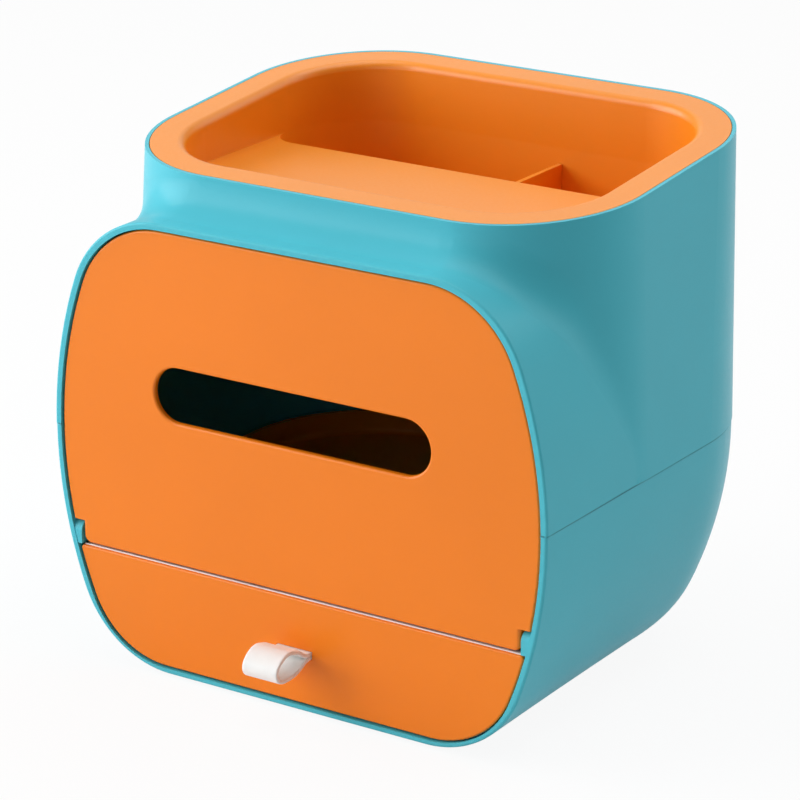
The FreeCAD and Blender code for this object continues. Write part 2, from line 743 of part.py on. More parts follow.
def make_drawer_box():
    top_half = side_half(BOX_HALF, BOX_SIDE_R, BOX_TOP)
    plan = vertical_corners(top_half, BOX_REAR, BOX_CORNER)
    inner_plan = vertical_corners(top_half - BOX_WALL, BOX_REAR - BOX_WALL,
                                  BOX_CORNER - BOX_WALL)
    trough = box_prism(0, BOX_Y, BOX_REAR).common(plan)
    trough = trough.common(box(-BIG, BIG, -BIG, BIG, -BIG, BOX_TOP))
    hollow = box_prism(BOX_WALL, BOX_Y + BOX_WALL, BOX_REAR).common(inner_plan)
    tub = trough.cut(hollow)
    flange = panel_prism(FLANGE_INSET, BOX_Y, BOX_Y + BOX_WALL)
    flange = flange.common(box(-BIG, BIG, -BIG, BIG, BOX_LOW, FLANGE_TOP))
    hook = box(-HOOK_HALF, HOOK_HALF, BOX_REAR - BOX_WALL, BOX_REAR, BOX_TOP - BOX_WALL, HOOK_TOP)
    tub = tub.fuse(flange).fuse(hook)
    floor = BASE_Z + WALL + SKID_PLAY
    skid = box(SKID_X, SKID_X + SKID_W, BOX_Y, BOX_REAR - BOX_CORNER, floor, BOX_LOW + BOX_WALL / 2)
    for side in both_sides(skid):
        tub = tub.fuse(side)
    wide = CLAMP_W / 2 + WINDOW_PLAY
    high = CLAMP_H / 2 + WINDOW_PLAY
    tub = tub.cut(box(-wide, wide, 0, BOX_Y + BOX_WALL, TAB_Z - high, TAB_Z + high))
    for x, z in drawer_screw_places():
        tub = tub.cut(rod_y(SMALL_SCREW_R + SCREW_PLAY, 0, BOX_Y + BOX_WALL, x, z))
    return tub.removeSplitter()


def screws_along_y(places, seat_y):
    """Small screws driven forward into the drawer front."""
    length = seat_y - PANEL_Y - PANEL_T / 3 - SCREW_PLAY
    screws = []
    for x, z in places:
        one = screw(SMALL_SCREW_R, SMALL_HEAD_R, length)
        one.rotate(V(0, 0, 0), V(1, 0, 0), 90)
        one.translate(V(x, seat_y, z))
        screws.append(one)
    return Part.makeCompound(screws)


def teardrop(reach, length_half, height_half, root, root_half):
    """Prism across the tab: an ellipse whose sides run straight back to a narrow root."""
    def place(out, up):
        return V(-TAB_W / 2, PANEL_Y - out, TAB_Z + up)
    centre = reach - length_half
    ellipse = Part.Ellipse(place(reach, 0), place(centre, height_half), place(centre, 0))
    along = (root - centre) / length_half
    across = root_half / height_half
    turn = math.atan2(across, along) - math.acos(1 / math.hypot(along, across))
    edges = [
        Part.ArcOfEllipse(ellipse, -turn, turn).toShape(),
        Part.makeLine(ellipse.value(turn), place(root, root_half)),
        Part.makeLine(place(root, -root_half), ellipse.value(-turn)),
    ]
    if root_half > 0:
        edges.append(Part.makeLine(place(root, root_half), place(root, -root_half)))
    face = Part.Face(Part.Wire(Part.__sortEdges__(edges)))
    return face.extrude(V(TAB_W, 0, 0))


def make_pull_tab():
    """Band folded into a loop; both ends pass the drawer front and bend apart behind it."""
    half = TAB_W / 2
    back = BOX_Y + TAB_T
    band = teardrop(TAB_REACH, TAB_LOOP_A, TAB_LOOP_B, 0, TAB_T)
    hollow = teardrop(TAB_REACH - TAB_T, TAB_LOOP_A - TAB_T, TAB_LOOP_B - TAB_T, TAB_PINCH, 0)
    throat = box(-half, half, PANEL_Y, back, TAB_Z - TAB_T, TAB_Z + TAB_T)
    spread = TAB_T + TAB_BEND
    ends = box(-half, half, BOX_Y, back, TAB_Z - spread, TAB_Z + spread)
    return band.cut(hollow).fuse(throat).fuse(ends).removeSplitter()


def make_tab_clamp():
    back = BOX_Y + TAB_T
    clamp = box(-CLAMP_W / 2, CLAMP_W / 2, back, back + CLAMP_T,
                TAB_Z - CLAMP_H / 2, TAB_Z + CLAMP_H / 2)
    for x, z in clamp_screw_places():
        clamp = clamp.fuse(rod_y(SMALL_HEAD_R, BOX_Y, back, x, z))
        clamp = clamp.cut(rod_y(SMALL_SCREW_R + SCREW_PLAY, BOX_Y, back + CLAMP_T, x, z))
    return clamp.removeSplitter()


def pocket_wire(inset, front, front_r):
    """Plan of the tray pocket, moved outwards by a negative inset."""
    side = TRAY_HALF - POCKET_INSET - inset
    rear = TRAY_REAR - POCKET_INSET - inset
    rear_r = TRAY_R - POCKET_INSET - inset
    return rounded_rect(side, front + inset, rear, front_r - inset, rear_r)


def shelf_pocket(inset, floor):
    wire = pocket_wire(inset, TRAY_FRONT + POCKET_INSET, TRAY_R - POCKET_INSET)
    return Part.Face(at_height(wire, floor)).extrude(V(0, 0, BIG))


def well_pocket(inset, floor):
    top = at_height(pocket_wire(inset, WELL_Y, WELL_CORNER), SHELF_Z)
    foot = at_height(pocket_wire(inset + WELL_DRAFT, WELL_Y, WELL_CORNER), floor)
    return Part.makeLoft([foot, top], True, True)


def make_top_tray():
    rim = tilted(Part.Face(tray_wire(0)).extrude(V(0, 0, RIM_T)), -RIM_T)
    below_top = tilted(box(-BIG, BIG, -BIG, BIG, -BIG, 0))
    tub = shelf_pocket(-TRAY_WALL, SHELF_Z - TRAY_WALL).common(below_top)
    tray = rim.fuse(tub)
    tray = tray.cut(shelf_pocket(0, SHELF_Z)).removeSplitter()

    def pocket_edge(bounds):
        top = RIM_Z + bounds.Center.y * math.tan(math.radians(TILT))
        wide = TRAY_HALF - RIM_FLAT
        inside = bounds.YMin > TRAY_FRONT + RIM_FLAT and bounds.XMin > -wide
        inside = inside and bounds.YMax < TRAY_REAR - RIM_FLAT and bounds.XMax < wide
        return abs(bounds.Center.z - top) < 1e-2 and inside
    tray = tray.makeFillet(RIM_ROUND, edges_where(tray, pocket_edge))
    tray = tray.fuse(well_pocket(-TRAY_WALL, WELL_Z - TRAY_WALL))
    tray = tray.cut(well_pocket(0, WELL_Z))
    for side in (-1, 1):
        near = DIVIDER_X + side * (DIVIDER_T / 2 + SCREW_PLAY)
        far = near + side * RIB_T
        rib = box(min(near, far), max(near, far), WELL_Y + RIB_END,
                  TRAY_REAR - POCKET_INSET - RIB_END, WELL_Z - TRAY_WALL / 2, WELL_Z + RIB_H)
        tray = tray.fuse(rib)
    return tray.removeSplitter()


def make_tray_divider():
    plate = box(DIVIDER_X - DIVIDER_T / 2, DIVIDER_X + DIVIDER_T / 2, -BIG, BIG,
                WELL_Z, DIVIDER_TOP)
    return plate.common(well_pocket(DIVIDER_PLAY, WELL_Z))


def make_foot(x, y):
    foot = rod_z(FOOT_R, 0, FOOT_T, x, y)
    return foot.makeFillet(FOOT_PROUD / 2, edges_where(foot, lambda b: b.ZMax < TINY))


def export(name, shape):
    shape.translate(V(0, -CENTRE_Y, 0))
    shape.exportStep(os.path.join("parts", name + ".step"))


os.makedirs("parts", exist_ok=True)
export("upper_shell", make_upper_shell())
export("lower_shell", make_lower_shell())
export("shell_screws", make_shell_screws())
export("deck", make_deck())
export("deck_screws", make_deck_screws())
export("front_door", make_front_door())
export("hinge_pin_right", make_hinge_pin())
export("hinge_pin_left", mirrored(make_hinge_pin()))
export("drawer_front", make_drawer_front())
export("drawer_box", make_drawer_box())
export("drawer_screws", screws_along_y(drawer_screw_places(), BOX_Y + BOX_WALL))
export("pull_tab", make_pull_tab())
export("tab_clamp", make_tab_clamp())
export("tab_screws", screws_along_y(clamp_screw_places(), BOX_Y + TAB_T + CLAMP_T))
export("top_tray", make_top_tray())
export("tray_divider", make_tray_divider())
for foot_name, (foot_x, foot_y) in foot_places().items():
    export(foot_name, make_foot(foot_x, foot_y))
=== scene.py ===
import bmesh
import bpy
import math
from mathutils import Matrix, Vector


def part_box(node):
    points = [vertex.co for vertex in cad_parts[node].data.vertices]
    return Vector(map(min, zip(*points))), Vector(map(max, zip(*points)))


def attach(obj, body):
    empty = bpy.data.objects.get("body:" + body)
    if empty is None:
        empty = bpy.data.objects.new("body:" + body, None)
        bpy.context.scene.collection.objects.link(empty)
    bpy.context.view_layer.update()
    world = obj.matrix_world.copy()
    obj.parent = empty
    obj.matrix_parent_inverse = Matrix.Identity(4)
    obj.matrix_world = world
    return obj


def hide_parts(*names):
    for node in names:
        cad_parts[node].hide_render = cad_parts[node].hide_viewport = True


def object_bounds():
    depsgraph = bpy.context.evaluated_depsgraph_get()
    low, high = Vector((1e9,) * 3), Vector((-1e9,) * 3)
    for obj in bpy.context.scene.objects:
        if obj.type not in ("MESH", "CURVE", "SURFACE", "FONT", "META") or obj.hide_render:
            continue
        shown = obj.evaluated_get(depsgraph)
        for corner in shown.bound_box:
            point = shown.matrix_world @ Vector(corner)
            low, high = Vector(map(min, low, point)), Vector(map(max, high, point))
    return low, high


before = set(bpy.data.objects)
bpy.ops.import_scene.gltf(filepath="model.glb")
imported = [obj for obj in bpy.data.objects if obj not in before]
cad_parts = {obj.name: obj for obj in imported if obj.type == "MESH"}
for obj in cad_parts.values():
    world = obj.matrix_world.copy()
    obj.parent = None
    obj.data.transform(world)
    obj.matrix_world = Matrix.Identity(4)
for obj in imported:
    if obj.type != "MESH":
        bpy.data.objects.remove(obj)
cad_low, cad_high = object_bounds()

# Desktop drawer organizer in moulded plastic. Metres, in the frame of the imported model.

MM = 0.001

# camera of the photograph
CAMERA_PLACE = Vector((0.66395, -1.000925, 0.51325))
CAMERA_AZIMUTH = math.radians(33.747)
CAMERA_ELEVATION = math.radians(19.274)
CAMERA_ROLL = math.radians(-0.248)
CAMERA_LENS = 160.616
CAMERA_SENSOR = 36.0
CAMERA_REACH = 20.0

# studio
LIGHT_AIM = (0.0, 0.0, 0.1)
SOFTBOXES = (            # name, place, width of the square, watts
    ("key_light", (-1.4, -0.8, 0.6), 1.7, 38.5),
    ("front_light", (0.0, -1.6, 0.35), 1.2, 4.2),
    ("top_light", (0.0, 0.2, 1.5), 1.4, 12.8),
    ("high_light", (0.8, 0.9, 1.2), 1.2, 6.3),
    ("rear_right_light", (1.3, 0.9, 0.45), 0.75, 2.9),
    ("rear_left_light", (-0.95, 1.35, 0.95), 1.2, 2.8),
)
WHITE = (1.0, 1.0, 1.0, 1.0)
AMBIENT = 0.02           # the room, as matt surfaces see it
GLOSS_WHITE = 0.33       # how white the studio is in the gloss of the object
FLOOR_REACH = 6.0        # from the middle to each side
FLOOR_PAPER = (0.85, 0.85, 0.85, 1.0)
FLOOR_ROUGH = 0.9
FLOOR_WHITE = 0.92       # how much of the floor is plain white; the rest shows the shadow

# colours, linear
TEAL = (0.086, 0.525, 0.632)
ORANGE_FRONT = (0.92, 0.222, 0.004)
ORANGE_INSIDE = (0.9, 0.28, 0.006)
WHITE_BOX = (0.86, 0.86, 0.85)
WHITE_CLAMP = (0.78, 0.78, 0.76)
BAND_WHITE = (0.94, 0.96, 0.95)
# painted shadow: dark teal of the strip that stands for the shadow in the gap between the
# shells
SEAM_PAINTED_SHADE = (0.04, 0.25, 0.3)
RUBBER_GREY = (0.03, 0.03, 0.032)
ZINC = (0.62, 0.62, 0.64)

# Blender's noise stays in this range nearly everywhere
NOISE_LOW = 0.3
NOISE_HIGH = 0.7

# moulded plastic: how far its roughness swings, and its slow sink waves
ROUGH_SWING = 0.04
WAVE_STRENGTH = 0.1

# pull band, in the plane across the middle of the drawer
BAND_WIDTH = 14.6 * MM
BAND_THICK = 1.4 * MM
BAND_EDGE = 0.35 * MM
BAND_EDGE_STEPS = 4
BAND_STEP = 0.35 * MM
BAND_LAP_GAP = 0.03 * MM  # from the middle of the lap to each layer

# screws, their recess as shares of the head's radius and height
SCREW_SETS = (            # piece, node that it replaces, body
    ("shell_screw_set", "shell_screws", "housing"),
    ("deck_screw_set", "deck_screws", "housing"),
    ("drawer_screw_set", "drawer_screws", "drawer"),
    ("band_screw_set", "tab_screws", "drawer"),
)
SCREW_STEPS = 36         # round a turned screw
SCREW_END = 0.1 * MM     # slice at each end in which its radius is read
RECESS_SPAN = 1.15       # each arm of the cross, from end to end, in head radii
RECESS_WIDTH = 0.3       # of the head's radius
RECESS_DEPTH = 0.62      # of the head's height

# seam line between the shells: a dark strip that paints the shadow of the gap, and a rounded
# lip under it
SEAM_HIGH = 0.34 * MM
SEAM_PROUD = 0.12 * MM
SEAM_DEEP = 0.5 * MM
SEAM_EDGE = 0.06 * MM
SEAM_LIP_HIGH = 0.5 * MM  # rounded lip under the dark line
SEAM_LIP_EDGE = 0.22 * MM
SEAM_STEP = 1.2 * MM

# white bead along the front edge of the drawer box, under the door
BEAD_LOW = 42.2 * MM
BEAD_HIGH = 42.85 * MM
BEAD_FRONT = 1.0 * MM    # behind the drawer front's face
BEAD_BACK = 1.5 * MM
BEAD_SHORT = 1.2 * MM    # how far it stops before each end of the front
BEAD_EDGE = 0.15 * MM
BEAD_STEP = 4.0 * MM

STRIP_EDGE_STEPS = 3     # in each rounded edge of a seam strip or the bead
WELD = 1e-6              # vertices closer than this are one


# finishes

def material(name):
    made = bpy.data.materials.new(name)
    made.use_nodes = True
    return made, made.node_tree, made.node_tree.nodes["Principled BSDF"]


def object_noise(tree, scale, detail, roughness=0.5):
    """Noise on the piece's own coordinates."""
    place = tree.nodes.new("ShaderNodeTexCoord")
    noise = tree.nodes.new("ShaderNodeTexNoise")
    noise.inputs["Scale"].default_value = scale
    noise.inputs["Detail"].default_value = detail
    noise.inputs["Roughness"].default_value = roughness
    tree.links.new(place.outputs["Object"], noise.inputs["Vector"])
    return noise.outputs["Fac"]


def spread(tree, value, low, high):
    """Map a noise value from its usual range to low..high."""
    ranged = tree.nodes.new("ShaderNodeMapRange")
    ranged.inputs["From Min"].default_value = NOISE_LOW
    ranged.inputs["From Max"].default_value = NOISE_HIGH
    ranged.inputs["To Min"].default_value = low
    ranged.inputs["To Max"].default_value = high
    tree.links.new(value, ranged.inputs["Value"])
    return ranged.outputs["Result"]


def shade(colour, factor):
    return tuple(min(1.0, c * factor) for c in colour) + (1.0,)


def drifting_colour(tree, surface, colour, scale, dark, light):
    """Base colour that drifts softly between two shades."""
    mix = tree.nodes.new("ShaderNodeMix")
    mix.data_type = "RGBA"
    mix.inputs["A"].default_value = shade(colour, dark)
    mix.inputs["B"].default_value = shade(colour, light)
    drift = spread(tree, object_noise(tree, scale, detail=3.0), 0.0, 1.0)
    tree.links.new(drift, mix.inputs["Factor"])
    tree.links.new(mix.outputs["Result"], surface.inputs["Base Color"])


def varied_gloss(tree, surface, scale, detail, low, high):
    """Roughness that varies from spot to spot between low and high."""
    gloss = spread(tree, object_noise(tree, scale, detail), low, high)
    tree.links.new(gloss, surface.inputs["Roughness"])


def bump(tree, height, strength, depth, under=None):
    """Normal of a relief, laid over another one where under is given."""
    made = tree.nodes.new("ShaderNodeBump")
    made.inputs["Strength"].default_value = strength
    made.inputs["Distance"].default_value = depth
    tree.links.new(height, made.inputs["Height"])
    if under:
        tree.links.new(under, made.inputs["Normal"])
    return made.outputs["Normal"]


def moulded_plastic(name, colour, rough=0.34, grain=0.1, ior=1.5):
    """Satin moulded plastic: spark-eroded grain, slow sink waves, a faint drift of colour."""
    made, tree, surface = material(name)
    drifting_colour(tree, surface, colour, scale=14.0, dark=0.975, light=1.02)
    varied_gloss(tree, surface, scale=900.0, detail=4.0,
                 low=rough - ROUGH_SWING, high=rough + ROUGH_SWING)
    sink = object_noise(tree, scale=22.0, detail=2.0)
    waves = bump(tree, sink, WAVE_STRENGTH, depth=0.4 * MM)
    pits = object_noise(tree, scale=2600.0, detail=3.0)
    fine = bump(tree, pits, grain, depth=0.05 * MM, under=waves)
    tree.links.new(fine, surface.inputs["Normal"])
    surface.inputs["IOR"].default_value = ior
    return made


def band_silicone(name, colour):
    """Soft band: matt, with a fine dusty grain."""
    made, tree, surface = material(name)
    drifting_colour(tree, surface, colour, scale=180.0, dark=0.97, light=1.01)
    varied_gloss(tree, surface, scale=1500.0, detail=4.0, low=0.5, high=0.62)
    dust = object_noise(tree, scale=4200.0, detail=4.0, roughness=0.65)
    tree.links.new(bump(tree, dust, strength=0.18, depth=0.04 * MM), surface.inputs["Normal"])
    surface.inputs["IOR"].default_value = 1.41
    return made


def foot_rubber(name, colour):
    """Matt rubber, mottled and slightly rough to the touch."""
    made, tree, surface = material(name)
    drifting_colour(tree, surface, colour, scale=300.0, dark=0.8, light=1.25)
    varied_gloss(tree, surface, scale=1200.0, detail=4.0, low=0.7, high=0.85)
    grain = object_noise(tree, scale=3500.0, detail=5.0, roughness=0.6)
    tree.links.new(bump(tree, grain, strength=0.3, depth=0.06 * MM), surface.inputs["Normal"])
    return made


def zinc_plate(name, colour):
    """Zinc plated steel with a fine grain and a cloudy shine."""
    made, tree, surface = material(name)
    drifting_colour(tree, surface, colour, scale=500.0, dark=0.9, light=1.08)
    varied_gloss(tree, surface, scale=800.0, detail=5.0, low=0.24, high=0.42)
    grain = object_noise(tree, scale=6000.0, detail=3.0)
    tree.links.new(bump(tree, grain, strength=0.15, depth=0.02 * MM), surface.inputs["Normal"])
    surface.inputs["Metallic"].default_value = 1.0
    return made


def give(made, *nodes):
    """Put a finish on CAD nodes."""
    for node in nodes:
        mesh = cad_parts[node].data
        mesh.materials.clear()
        mesh.materials.append(made)


teal = moulded_plastic("teal_shell_plastic", TEAL, rough=0.32, ior=1.25)
orange_front = moulded_plastic("orange_front_plastic", ORANGE_FRONT, ior=1.42)
orange_tray = moulded_plastic("orange_tray_plastic", ORANGE_INSIDE, rough=0.36, ior=1.6)
orange_deck = moulded_plastic("orange_deck_plastic", ORANGE_INSIDE, rough=0.4)
white_drawer = moulded_plastic("white_drawer_plastic", WHITE_BOX, rough=0.38)
white_clamp = moulded_plastic("white_clamp_plastic", WHITE_CLAMP, rough=0.5, grain=0.2)
# dark plastic of the seam strip: painted shadow of the gap between the shells
seam_gap_painted_shade = moulded_plastic("painted_shadow_seam_plastic", SEAM_PAINTED_SHADE, rough=0.6)
white_band = band_silicone("white_pull_band", BAND_WHITE)
rubber = foot_rubber("grey_foot_rubber", RUBBER_GREY)
zinc = zinc_plate("zinc_plated_steel", ZINC)

give(teal, "upper_shell", "lower_shell")
give(orange_front, "front_door", "drawer_front")
give(orange_tray, "top_tray", "tray_divider")
give(orange_deck, "deck")
give(white_drawer, "drawer_box")
give(white_clamp, "tab_clamp")
give(rubber, "foot_front_left", "foot_front_right", "foot_rear_left", "foot_rear_right")
give(zinc, "hinge_pin_right", "hinge_pin_left")


# geometry trees

def geometry_tree(name, sizes, things):
    """Geometry tree with a named input for each size and each object or material."""
    tree = bpy.data.node_groups.new(name, "GeometryNodeTree")
    tree.interface.new_socket("Geometry", in_out="INPUT", socket_type="NodeSocketGeometry")
    for size in sizes:
        tree.interface.new_socket(size, in_out="INPUT", socket_type="NodeSocketFloat")
    for thing, kind in things:
        tree.interface.new_socket(thing, in_out="INPUT", socket_type="NodeSocket" + kind)
    tree.interface.new_socket("Geometry", in_out="OUTPUT", socket_type="NodeSocketGeometry")
    return tree, tree.nodes.new("NodeGroupInput")


def add(tree, kind, links, **settings):
    """Add a node, set its properties and its sockets: a value, or an output to link."""
    node = tree.nodes.new(kind)
    for name, value in settings.items():
        setattr(node, name, value)
    for socket, value in links.items():
        if isinstance(value, bpy.types.NodeSocket):
            tree.links.new(value, node.inputs[socket])
        else:
            node.inputs[socket].default_value = value
    return node


def close_tree(tree, geometry, finish):
    """Realize what the tree made, give it its material and pass it out."""
    real = add(tree, "GeometryNodeRealizeInstances", {"Geometry": geometry})
    painted = add(tree, "GeometryNodeSetMaterial",
                  {"Geometry": real.outputs["Geometry"], "Material": finish})
    add(tree, "NodeGroupOutput", {"Geometry": painted.outputs["Geometry"]})


def grown(name, seed_mesh, tree, values):
    """Run a tree on a seed mesh and keep the result as a plain mesh object."""
    seed = bpy.data.objects.new(name + "_seed", seed_mesh)
    growth = seed.modifiers.new("growth", "NODES")
    growth.node_group = tree
    for item in tree.interface.items_tree:
        if item.name in values:
            growth[item.identifier] = values[item.name]
    bpy.context.scene.collection.objects.link(seed)
    graph = bpy.context.evaluated_depsgraph_get()
    mesh = bpy.data.meshes.new_from_object(seed.evaluated_get(graph), depsgraph=graph)
    mesh.name = name
    bpy.data.objects.remove(seed)
    piece = bpy.data.objects.new(name, mesh)
    bpy.context.scene.collection.objects.link(piece)
    return piece


def line_mesh(points):
    """Mesh of edges that join the points in order."""
    mesh = bpy.data.meshes.new("path")
    edges = [(i, i + 1) for i in range(len(points) - 1)]
    mesh.from_pydata(points, edges, [])
    return mesh


# pull band

def band_tree():
    """Sweeps a flat band with rounded edges along a path that lies across the X axis."""
    tree, given = geometry_tree("band_along_path", ("Width", "Thickness", "Edge", "Step"),
                                (("Finish", "Material"),))
    path = add(tree, "GeometryNodeMeshToCurve", {"Mesh": given.outputs["Geometry"]})
    smooth = add(tree, "GeometryNodeCurveSplineType", {"Curve": path.outputs["Curve"]},
                 spline_type="CATMULL_ROM")
    even = add(tree, "GeometryNodeResampleCurve",
               {"Curve": smooth.outputs["Curve"], "Length": given.outputs["Step"]},
               mode="LENGTH")
    facing = add(tree, "GeometryNodeSetCurveNormal",
                 {"Curve": even.outputs["Curve"], "Normal": (1.0, 0.0, 0.0)}, mode="FREE")
    section = add(tree, "GeometryNodeCurvePrimitiveQuadrilateral",
                  {"Width": given.outputs["Width"], "Height": given.outputs["Thickness"]},
                  mode="RECTANGLE")
    rounded = add(tree, "GeometryNodeFilletCurve",
                  {"Curve": section.outputs["Curve"], "Radius": given.outputs["Edge"],
                   "Count": BAND_EDGE_STEPS, "Limit Radius": True}, mode="POLY")
    fine = add(tree, "GeometryNodeResampleCurve",
               {"Curve": rounded.outputs["Curve"], "Length": given.outputs["Edge"]},
               mode="LENGTH")
    swept = add(tree, "GeometryNodeCurveToMesh",
                {"Curve": facing.outputs["Curve"], "Profile Curve": fine.outputs["Curve"],
                 "Fill Caps": True})
    soft = add(tree, "GeometryNodeSetShadeSmooth", {"Geometry": swept.outputs["Mesh"]})
    close_tree(tree, soft.outputs["Geometry"], given.outputs["Finish"])
    return tree


def band_path():
    """Middle line of the folded band: in from behind the drawer front, round the loop, back."""
    low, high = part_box("pull_tab")
    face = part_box("drawer_front")[0][1]
    back = high[1] - BAND_THICK / 2
    middle = (low[2] + high[2]) / 2
    tail = (high[2] - low[2]) / 2 / MM
    lap = (BAND_THICK / 2 + BAND_LAP_GAP) / MM
    # out from the drawer's face and up from the slit, in millimetres
    upper = [(1.2, lap), (3.4, 1.15), (5.4, 2.55), (7.6, 3.95), (10.0, 4.7), (12.6, 5.25),
             (15.2, 4.9), (17.6, 3.7), (19.5, 1.95)]
    nose = [(20.2, 0.2)]
    lower = [(19.9, -1.5), (18.7, -2.9), (16.4, -3.7), (13.4, -3.9), (10.6, -3.75),
             (8.0, -3.2), (5.6, -2.3), (3.4, -1.2), (1.2, -lap)]
    loop = [Vector((0, face - out * MM, middle + up * MM)) for out, up in upper + nose + lower]
    # from the upper end behind the clamp into the slit: forward and up, in millimetres
    upper_tail = [(0.0, tail), (0.0, 0.6 * tail), (0.05, 2.0), (0.7, lap + 0.35), (1.6, lap)]
    head = [Vector((0, back - on * MM, middle + up * MM)) for on, up in upper_tail]
    foot = [Vector((0, back - on * MM, middle - up * MM)) for on, up in reversed(upper_tail)]
    return head + loop + foot


def make_pull_band():
    values = {"Width": BAND_WIDTH, "Thickness": BAND_THICK, "Edge": BAND_EDGE,
              "Step": BAND_STEP, "Finish": white_band}
    piece = grown("pull_band", line_mesh(band_path()), band_tree(), values)
    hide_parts("pull_tab")
    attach(piece, "drawer")


# screws

def loose_solids(node):
    """Vertex places of each separate solid in a CAD node, from a merged copy of its mesh."""
    copy = bmesh.new()
    copy.from_mesh(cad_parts[node].data)
    bmesh.ops.remove_doubles(copy, verts=copy.verts, dist=WELD)
    solids = []
    waiting = set(copy.verts)
    while waiting:
        reached = [waiting.pop()]
        solid = []
        while reached:
            vertex = reached.pop()
            solid.append(vertex.co.copy())
            for edge in vertex.link_edges:
                other = edge.other_vert(vertex)
                if other in waiting:
                    waiting.remove(other)
                    reached.append(other)
        solids.append(solid)
    copy.free()
    return sorted(solids, key=lambda solid: tuple(round(c, 5) for c in solid_middle(solid)))


def solid_middle(points):
    return [(min(p[i] for p in points) + max(p[i] for p in points)) / 2 for i in range(3)]


def across(point, middle, along):
    """Distance of a point from the axis through middle."""
    return math.hypot(*[point[i] - middle[i] for i in range(3) if i != along])


def read_screw(points):
    """Seat, direction of the head and sizes of one screw solid."""
    spans = [max(p[i] for p in points) - min(p[i] for p in points) for i in range(3)]
    along = spans.index(max(spans))
    middle = Vector(solid_middle(points))
    radii = {}
    for sign in (-1, 1):
        reach = max(sign * p[along] for p in points)
        last = [p for p in points if sign * p[along] > reach - SCREW_END]
        radii[sign] = max(across(p, middle, along) for p in last)
    head = 1 if radii[1] > radii[-1] else -1
    out = Vector([head if i == along else 0.0 for i in range(3)])
    head_radius, shank_radius = radii[head], radii[-head]
    wide = [head * p[along] for p in points
            if across(p, middle, along) > (head_radius + shank_radius) / 2]
    tip = min(head * p[along] for p in points)
    seat = middle.copy()
    seat[along] = head * min(wide)
    sizes = {"head": head_radius, "high": max(wide) - min(wide),
             "shank": shank_radius, "length": min(wide) - tip}
    return seat, out, sizes


def turned_blank(head, high, shank, length):
    """Screw without its recess, turned from a half section, head up and seat at zero."""
    # radius and height, from the crown over the head, then down the shank to its tip
    section = [(0.0, high), (0.45 * head, 0.985 * high), (0.68 * head, 0.92 * high),
               (0.85 * head, 0.78 * high), (0.95 * head, 0.6 * high), (head, 0.38 * high),
               (head, 0.1 * high), (0.97 * head, 0.0), (shank, 0.0),
               (shank, shank * 2.2 - length), (0.25 * shank, -length), (0.0, -length)]
    blank = bmesh.new()
    corners = [blank.verts.new((radius, 0.0, z)) for radius, z in section]
    edges = [blank.edges.new(pair) for pair in zip(corners, corners[1:])]
    bmesh.ops.spin(blank, geom=corners + edges, cent=(0, 0, 0), axis=(0, 0, 1),
                   angle=math.tau, steps=SCREW_STEPS)
    bmesh.ops.remove_doubles(blank, verts=blank.verts, dist=WELD)
    bmesh.ops.recalc_face_normals(blank, faces=blank.faces)
    mesh = bpy.data.meshes.new("screw_blank")
    blank.to_mesh(mesh)
    blank.free()
    return mesh


def screw_tree():
    """Cuts a cross recess into the blank's head and sets one screw on each seat."""
    sizes = ("Head Height", "Recess Span", "Recess Width", "Recess Depth")
    tree, given = geometry_tree("recessed_screws", sizes,
                                (("Blank", "Object"), ("Finish", "Material")))
    span = given.outputs["Recess Span"]
    width = given.outputs["Recess Width"]
    blank = add(tree, "GeometryNodeObjectInfo", {"Object": given.outputs["Blank"]})
    # each cutter is twice as high as the head and stands on the recess's floor
    high = add(tree, "ShaderNodeMath", {0: given.outputs["Head Height"], 1: 2.0},
               operation="MULTIPLY")
    middle = add(tree, "ShaderNodeMath", {0: high.outputs["Value"],
                                          1: given.outputs["Recess Depth"]},
                 operation="SUBTRACT")
    place = add(tree, "ShaderNodeCombineXYZ", {"Z": middle.outputs["Value"]})
    cut = add(tree, "GeometryNodeMeshBoolean", {0: blank.outputs["Geometry"]},
              operation="DIFFERENCE", solver="EXACT")
    for x, y in ((span, width), (width, span)):
        size = add(tree, "ShaderNodeCombineXYZ", {"X": x, "Y": y, "Z": high.outputs["Value"]})
        arm = add(tree, "GeometryNodeMeshCube", {"Size": size.outputs["Vector"]})
        moved = add(tree, "GeometryNodeTransform",
                    {"Geometry": arm.outputs["Mesh"], "Translation": place.outputs["Vector"]})
        tree.links.new(moved.outputs["Geometry"], cut.inputs[1])
    out = add(tree, "GeometryNodeInputNamedAttribute", {"Name": "out"},
              data_type="FLOAT_VECTOR")
    turn = add(tree, "FunctionNodeAlignRotationToVector",
               {"Vector": out.outputs["Attribute"]}, axis="Z")
    seats = add(tree, "GeometryNodeMeshToPoints", {"Mesh": given.outputs["Geometry"]})
    placed = add(tree, "GeometryNodeInstanceOnPoints",
                 {"Points": seats.outputs["Points"], "Instance": cut.outputs["Mesh"],
                  "Rotation": turn.outputs["Rotation"]})
    close_tree(tree, placed.outputs["Instances"], given.outputs["Finish"])
    return tree


def make_screws(tree, name, node, body):
    """Cross-recess screws in place of a CAD node's plain ones, at the same seats."""
    screws = [read_screw(points) for points in loose_solids(node)]
    seats = bpy.data.meshes.new("seats")
    seats.from_pydata([seat for seat, out, size in screws], [], [])
    ways = seats.attributes.new("out", "FLOAT_VECTOR", "POINT")
    for index, (seat, out, size) in enumerate(screws):
        ways.data[index].vector = out
    sizes = screws[0][2]
    blank = bpy.data.objects.new("screw_blank", turned_blank(**sizes))
    bpy.context.scene.collection.objects.link(blank)
    values = {"Head Height": sizes["high"], "Recess Span": RECESS_SPAN * sizes["head"],
              "Recess Width": RECESS_WIDTH * sizes["head"],
              "Recess Depth": RECESS_DEPTH * sizes["high"],
              "Blank": blank, "Finish": zinc}
    piece = grown(name, seats, tree, values)
    bpy.data.objects.remove(blank)
    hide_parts(node)
    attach(piece, body)
